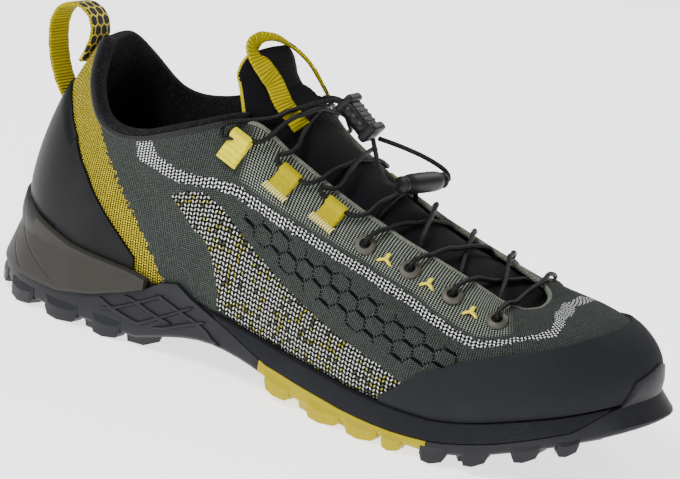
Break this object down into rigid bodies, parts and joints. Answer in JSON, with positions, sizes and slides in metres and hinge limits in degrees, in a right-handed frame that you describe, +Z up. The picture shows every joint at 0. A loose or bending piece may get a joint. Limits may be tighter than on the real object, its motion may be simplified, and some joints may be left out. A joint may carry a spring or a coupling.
{
  "type": "approach shoe",
  "caption": "Low approach shoe for the right foot: hollow knitted upper with rubber toe rand, plastic heel cup, stiff foam midsole, lugged three-part outsole and quick lace.",
  "frame": {"origin": "on the floor, under the middle of the sole's length and width", "axes": "+X to the toe, +Y to the inner side of the foot, +Z up"},
  "size_m": [0.3, 0.1042, 0.1356],
  "materials": {
    "collar_lining_black_fabric": "soft knitted lining",
    "cord_grip_black_plastic": "fine textured plastic",
    "cord_lock_black_plastic": "fine textured plastic",
    "eyelet_inner_1_dark_metal": "dark lacquered metal",
    "eyelet_inner_2_dark_metal": "dark lacquered metal",
    "eyelet_inner_3_dark_metal": "dark lacquered metal",
    "eyelet_inner_4_dark_metal": "dark lacquered metal",
    "eyelet_outer_1_dark_metal": "dark lacquered metal",
    "eyelet_outer_2_dark_metal": "dark lacquered metal",
    "eyelet_outer_3_dark_metal": "dark lacquered metal",
    "eyelet_outer_4_dark_metal": "dark lacquered metal",
    "guide_inner_1_yellow_webbing": "woven webbing",
    "guide_inner_2_yellow_webbing": "woven webbing",
    "guide_inner_3_yellow_webbing": "woven webbing",
    "guide_outer_1_yellow_webbing": "woven webbing",
    "guide_outer_2_yellow_webbing": "woven webbing",
    "guide_outer_3_yellow_webbing": "woven webbing",
    "heel_counter_black_film": "smooth bonded film",
    "heel_cup_taupe_plastic": "satin moulded plastic",
    "heel_loop_yellow_webbing": "woven webbing",
    "insole_black_fabric": "soft knitted lining",
    "lace_bar_black_lace": "round braided cord",
    "lace_inner_1_black_lace": "round braided cord",
    "lace_inner_2_black_lace": "round braided cord",
    "lace_inner_3_black_lace": "round braided cord",
    "lace_inner_4_black_lace": "round braided cord",
    "lace_inner_5_black_lace": "round braided cord",
    "lace_inner_6_black_lace": "round braided cord",
    "lace_inner_7_black_lace": "round braided cord",
    "lace_outer_1_black_lace": "round braided cord",
    "lace_outer_2_black_lace": "round braided cord",
    "lace_outer_3_black_lace": "round braided cord",
    "lace_outer_4_black_lace": "round braided cord",
    "lace_outer_5_black_lace": "round braided cord",
    "lace_outer_6_black_lace": "round braided cord",
    "lace_outer_7_black_lace": "round braided cord",
    "lace_tail_inner_black_lace": "round braided cord",
    "lace_tail_outer_black_lace": "round braided cord",
    "midsole_grey_foam": "moulded foam skin with fine creases",
    "outsole_arch_yellow_rubber": "matte moulded rubber",
    "outsole_forefoot_black_rubber": "matte moulded rubber",
    "outsole_heel_black_rubber": "matte moulded rubber",
    "toe_rand_black_rubber": "matte moulded rubber",
    "tongue_black_fabric": "soft knitted lining",
    "tongue_loop_yellow_webbing": "woven webbing",
    "upper_grey_knit": "ribbed knit"
  },
  "bodies": {
    "root": {"collar_lining": "collar_lining_black_fabric", "cord_grip": "cord_grip_black_plastic", "cord_lock": "cord_lock_black_plastic", "eyelet_inner_1": "eyelet_inner_1_dark_metal", "eyelet_inner_2": "eyelet_inner_2_dark_metal", "eyelet_inner_3": "eyelet_inner_3_dark_metal", "eyelet_inner_4": "eyelet_inner_4_dark_metal", "eyelet_outer_1": "eyelet_outer_1_dark_metal", "eyelet_outer_2": "eyelet_outer_2_dark_metal", "eyelet_outer_3": "eyelet_outer_3_dark_metal", "eyelet_outer_4": "eyelet_outer_4_dark_metal", "guide_inner_1": "guide_inner_1_yellow_webbing", "guide_inner_2": "guide_inner_2_yellow_webbing", "guide_inner_3": "guide_inner_3_yellow_webbing", "guide_outer_1": "guide_outer_1_yellow_webbing", "guide_outer_2": "guide_outer_2_yellow_webbing", "guide_outer_3": "guide_outer_3_yellow_webbing", "heel_counter": "heel_counter_black_film", "heel_cup": "heel_cup_taupe_plastic", "heel_loop": "heel_loop_yellow_webbing", "insole": "insole_black_fabric", "lace_bar": "lace_bar_black_lace", "lace_inner_1": "lace_inner_1_black_lace", "lace_inner_2": "lace_inner_2_black_lace", "lace_inner_3": "lace_inner_3_black_lace", "lace_inner_4": "lace_inner_4_black_lace", "lace_inner_5": "lace_inner_5_black_lace", "lace_inner_6": "lace_inner_6_black_lace", "lace_inner_7": "lace_inner_7_black_lace", "lace_outer_1": "lace_outer_1_black_lace", "lace_outer_2": "lace_outer_2_black_lace", "lace_outer_3": "lace_outer_3_black_lace", "lace_outer_4": "lace_outer_4_black_lace", "lace_outer_5": "lace_outer_5_black_lace", "lace_outer_6": "lace_outer_6_black_lace", "lace_outer_7": "lace_outer_7_black_lace", "lace_tail_inner": "lace_tail_inner_black_lace", "lace_tail_outer": "lace_tail_outer_black_lace", "midsole": "midsole_grey_foam", "outsole_arch": "outsole_arch_yellow_rubber", "outsole_forefoot": "outsole_forefoot_black_rubber", "outsole_heel": "outsole_heel_black_rubber", "toe_rand": "toe_rand_black_rubber", "tongue": "tongue_black_fabric", "tongue_loop": "tongue_loop_yellow_webbing", "upper": "upper_grey_knit"}
  },
  "joints": []
}
